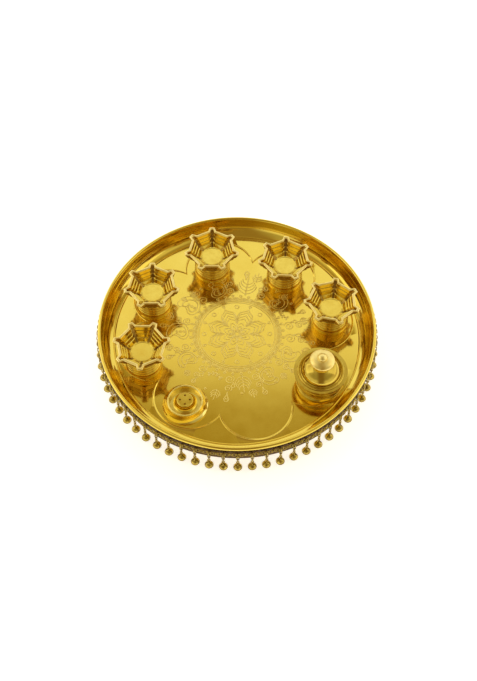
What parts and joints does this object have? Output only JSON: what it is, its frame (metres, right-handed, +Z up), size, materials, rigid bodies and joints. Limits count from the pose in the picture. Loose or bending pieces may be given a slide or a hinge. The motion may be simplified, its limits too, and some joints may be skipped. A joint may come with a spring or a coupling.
{
  "type": "puja thali",
  "caption": "Round brass puja tray with a rolled rim and a hanging fringe of small bells, carrying lift-off star oil lamps, an incense stand and a lidded kumkum box.",
  "frame": {"origin": "on the table under the tray's centre", "axes": "+Z up, -Y towards the front, where the incense stand and the box are nearest, +X to the right"},
  "size_m": [0.3156, 0.3156, 0.0779],
  "materials": {
    "polished_brass": "polished",
    "antique_brass": "aged, half bright"
  },
  "bodies": {
    "tray_body": {"tray": "polished_brass", "foot_ring": "polished_brass", "fringe_band": "polished_brass", "chain_eyelets": "antique_brass", "rim_chain_1": "antique_brass", "rim_chain_2": "antique_brass", "rim_chain_3": "antique_brass", "rim_chain_4": "antique_brass"},
    "bells_01": {"bell_pair_01": "antique_brass"},
    "bells_02": {"bell_pair_02": "antique_brass"},
    "bells_03": {"bell_pair_03": "antique_brass"},
    "bells_04": {"bell_pair_04": "antique_brass"},
    "bells_05": {"bell_pair_05": "antique_brass"},
    "bells_06": {"bell_pair_06": "antique_brass"},
    "bells_07": {"bell_pair_07": "antique_brass"},
    "bells_08": {"bell_pair_08": "antique_brass"},
    "bells_09": {"bell_pair_09": "antique_brass"},
    "bells_10": {"bell_pair_10": "antique_brass"},
    "bells_11": {"bell_pair_11": "antique_brass"},
    "bells_12": {"bell_pair_12": "antique_brass"},
    "bells_13": {"bell_pair_13": "antique_brass"},
    "bells_14": {"bell_pair_14": "antique_brass"},
    "bells_15": {"bell_pair_15": "antique_brass"},
    "bells_16": {"bell_pair_16": "antique_brass"},
    "bells_17": {"bell_pair_17": "antique_brass"},
    "bells_18": {"bell_pair_18": "antique_brass"},
    "bells_19": {"bell_pair_19": "antique_brass"},
    "bells_20": {"bell_pair_20": "antique_brass"},
    "bells_21": {"bell_pair_21": "antique_brass"},
    "bells_22": {"bell_pair_22": "antique_brass"},
    "bells_23": {"bell_pair_23": "antique_brass"},
    "bells_24": {"bell_pair_24": "antique_brass"},
    "bells_25": {"bell_pair_25": "antique_brass"},
    "bells_26": {"bell_pair_26": "antique_brass"},
    "bells_27": {"bell_pair_27": "antique_brass"},
    "bells_28": {"bell_pair_28": "antique_brass"},
    "bells_29": {"bell_pair_29": "antique_brass"},
    "bells_30": {"bell_pair_30": "antique_brass"},
    "bells_31": {"bell_pair_31": "antique_brass"},
    "bells_32": {"bell_pair_32": "antique_brass"},
    "lamp_1": {"lamp_bowl_1": "polished_brass", "lamp_stand_1": "polished_brass"},
    "lamp_2": {"lamp_bowl_2": "polished_brass", "lamp_stand_2": "polished_brass"},
    "lamp_3": {"lamp_bowl_3": "polished_brass", "lamp_stand_3": "polished_brass"},
    "lamp_4": {"lamp_bowl_4": "polished_brass", "lamp_stand_4": "polished_brass"},
    "lamp_5": {"lamp_bowl_5": "polished_brass", "lamp_stand_5": "polished_brass"},
    "incense_stand": {"incense_dish": "polished_brass", "incense_holder": "polished_brass"},
    "kumkum_box": {"kumkum_pot": "polished_brass"},
    "kumkum_cover": {"kumkum_lid": "polished_brass", "kumkum_knob": "polished_brass"}
  },
  "joints": [
    {"name": "bells_01_swing", "type": "hinge", "parent": "tray_body", "child": "bells_01", "pos_m": [0.0083, -0.15269, 0.0342], "axis": [-0.9985, -0.0543, 0], "range_deg": [-1, 75]},
    {"name": "bells_02_swing", "type": "hinge", "parent": "tray_body", "child": "bells_02", "pos_m": [0.03793, -0.14814, 0.0342], "axis": [-0.9687, -0.2481, 0], "range_deg": [-1, 75]},
    {"name": "bells_03_swing", "type": "hinge", "parent": "tray_body", "child": "bells_03", "pos_m": [0.0661, -0.13789, 0.0342], "axis": [-0.9017, -0.4323, 0], "range_deg": [-1, 75]},
    {"name": "bells_04_swing", "type": "hinge", "parent": "tray_body", "child": "bells_04", "pos_m": [0.09173, -0.12234, 0.0342], "axis": [-0.8001, -0.5999, 0], "range_deg": [-1, 75]},
    {"name": "bells_05_swing", "type": "hinge", "parent": "tray_body", "child": "bells_05", "pos_m": [0.11384, -0.1021, 0.0342], "axis": [-0.6677, -0.7445, 0], "range_deg": [-1, 75]},
    {"name": "bells_06_swing", "type": "hinge", "parent": "tray_body", "child": "bells_06", "pos_m": [0.13157, -0.07793, 0.0342], "axis": [-0.5096, -0.8604, 0], "range_deg": [-1, 75]},
    {"name": "bells_07_swing", "type": "hinge", "parent": "tray_body", "child": "bells_07", "pos_m": [0.14425, -0.05076, 0.0342], "axis": [-0.332, -0.9433, 0], "range_deg": [-1, 75]},
    {"name": "bells_08_swing", "type": "hinge", "parent": "tray_body", "child": "bells_08", "pos_m": [0.15138, -0.02165, 0.0342], "axis": [-0.1415, -0.9899, 0], "range_deg": [-1, 75]},
    {"name": "bells_09_swing", "type": "hinge", "parent": "tray_body", "child": "bells_09", "pos_m": [0.15269, 0.0083, 0.0342], "axis": [0.0543, -0.9985, 0], "range_deg": [-1, 75]},
    {"name": "bells_10_swing", "type": "hinge", "parent": "tray_body", "child": "bells_10", "pos_m": [0.14814, 0.03793, 0.0342], "axis": [0.2481, -0.9687, 0], "range_deg": [-1, 75]},
    {"name": "bells_11_swing", "type": "hinge", "parent": "tray_body", "child": "bells_11", "pos_m": [0.13789, 0.0661, 0.0342], "axis": [0.4323, -0.9017, 0], "range_deg": [-1, 75]},
    {"name": "bells_12_swing", "type": "hinge", "parent": "tray_body", "child": "bells_12", "pos_m": [0.12234, 0.09173, 0.0342], "axis": [0.5999, -0.8001, 0], "range_deg": [-1, 75]},
    {"name": "bells_13_swing", "type": "hinge", "parent": "tray_body", "child": "bells_13", "pos_m": [0.1021, 0.11384, 0.0342], "axis": [0.7445, -0.6677, 0], "range_deg": [-1, 75]},
    {"name": "bells_14_swing", "type": "hinge", "parent": "tray_body", "child": "bells_14", "pos_m": [0.07793, 0.13157, 0.0342], "axis": [0.8604, -0.5096, 0], "range_deg": [-1, 75]},
    {"name": "bells_15_swing", "type": "hinge", "parent": "tray_body", "child": "bells_15", "pos_m": [0.05076, 0.14425, 0.0342], "axis": [0.9433, -0.332, 0], "range_deg": [-1, 75]},
    {"name": "bells_16_swing", "type": "hinge", "parent": "tray_body", "child": "bells_16", "pos_m": [0.02165, 0.15138, 0.0342], "axis": [0.9899, -0.1415, 0], "range_deg": [-1, 75]},
    {"name": "bells_17_swing", "type": "hinge", "parent": "tray_body", "child": "bells_17", "pos_m": [-0.0083, 0.15269, 0.0342], "axis": [0.9985, 0.0543, 0], "range_deg": [-1, 75]},
    {"name": "bells_18_swing", "type": "hinge", "parent": "tray_body", "child": "bells_18", "pos_m": [-0.03793, 0.14814, 0.0342], "axis": [0.9687, 0.2481, 0], "range_deg": [-1, 75]},
    {"name": "bells_19_swing", "type": "hinge", "parent": "tray_body", "child": "bells_19", "pos_m": [-0.0661, 0.13789, 0.0342], "axis": [0.9017, 0.4323, 0], "range_deg": [-1, 75]},
    {"name": "bells_20_swing", "type": "hinge", "parent": "tray_body", "child": "bells_20", "pos_m": [-0.09173, 0.12234, 0.0342], "axis": [0.8001, 0.5999, 0], "range_deg": [-1, 75]},
    {"name": "bells_21_swing", "type": "hinge", "parent": "tray_body", "child": "bells_21", "pos_m": [-0.11384, 0.1021, 0.0342], "axis": [0.6677, 0.7445, 0], "range_deg": [-1, 75]},
    {"name": "bells_22_swing", "type": "hinge", "parent": "tray_body", "child": "bells_22", "pos_m": [-0.13157, 0.07793, 0.0342], "axis": [0.5096, 0.8604, 0], "range_deg": [-1, 75]},
    {"name": "bells_23_swing", "type": "hinge", "parent": "tray_body", "child": "bells_23", "pos_m": [-0.14425, 0.05076, 0.0342], "axis": [0.332, 0.9433, 0], "range_deg": [-1, 75]},
    {"name": "bells_24_swing", "type": "hinge", "parent": "tray_body", "child": "bells_24", "pos_m": [-0.15138, 0.02165, 0.0342], "axis": [0.1415, 0.9899, 0], "range_deg": [-1, 75]},
    {"name": "bells_25_swing", "type": "hinge", "parent": "tray_body", "child": "bells_25", "pos_m": [-0.15269, -0.0083, 0.0342], "axis": [-0.0543, 0.9985, 0], "range_deg": [-1, 75]},
    {"name": "bells_26_swing", "type": "hinge", "parent": "tray_body", "child": "bells_26", "pos_m": [-0.14814, -0.03793, 0.0342], "axis": [-0.2481, 0.9687, 0], "range_deg": [-1, 75]},
    {"name": "bells_27_swing", "type": "hinge", "parent": "tray_body", "child": "bells_27", "pos_m": [-0.13789, -0.0661, 0.0342], "axis": [-0.4323, 0.9017, 0], "range_deg": [-1, 75]},
    {"name": "bells_28_swing", "type": "hinge", "parent": "tray_body", "child": "bells_28", "pos_m": [-0.12234, -0.09173, 0.0342], "axis": [-0.5999, 0.8001, 0], "range_deg": [-1, 75]},
    {"name": "bells_29_swing", "type": "hinge", "parent": "tray_body", "child": "bells_29", "pos_m": [-0.1021, -0.11384, 0.0342], "axis": [-0.7445, 0.6677, 0], "range_deg": [-1, 75]},
    {"name": "bells_30_swing", "type": "hinge", "parent": "tray_body", "child": "bells_30", "pos_m": [-0.07793, -0.13157, 0.0342], "axis": [-0.8604, 0.5096, 0], "range_deg": [-1, 75]},
    {"name": "bells_31_swing", "type": "hinge", "parent": "tray_body", "child": "bells_31", "pos_m": [-0.05076, -0.14425, 0.0342], "axis": [-0.9433, 0.332, 0], "range_deg": [-1, 75]},
    {"name": "bells_32_swing", "type": "hinge", "parent": "tray_body", "child": "bells_32", "pos_m": [-0.02165, -0.15138, 0.0342], "axis": [-0.9899, 0.1415, 0], "range_deg": [-1, 75]},
    {"name": "lamp_1_lift", "type": "slide", "parent": "tray_body", "child": "lamp_1", "axis": [0, 0, 1], "range_m": [0, 0.06]},
    {"name": "lamp_2_lift", "type": "slide", "parent": "tray_body", "child": "lamp_2", "axis": [0, 0, 1], "range_m": [0, 0.06]},
    {"name": "lamp_3_lift", "type": "slide", "parent": "tray_body", "child": "lamp_3", "axis": [0, 0, 1], "range_m": [0, 0.06]},
    {"name": "lamp_4_lift", "type": "slide", "parent": "tray_body", "child": "lamp_4", "axis": [0, 0, 1], "range_m": [0, 0.06]},
    {"name": "lamp_5_lift", "type": "slide", "parent": "tray_body", "child": "lamp_5", "axis": [0, 0, 1], "range_m": [0, 0.06]},
    {"name": "incense_stand_lift", "type": "slide", "parent": "tray_body", "child": "incense_stand", "axis": [0, 0, 1], "range_m": [0, 0.06]},
    {"name": "kumkum_box_lift", "type": "slide", "parent": "tray_body", "child": "kumkum_box", "axis": [0, 0, 1], "range_m": [0, 0.06]},
    {"name": "kumkum_cover_lift", "type": "slide", "parent": "kumkum_box", "child": "kumkum_cover", "axis": [0, 0, 1], "range_m": [0, 0.06]}
  ]
}
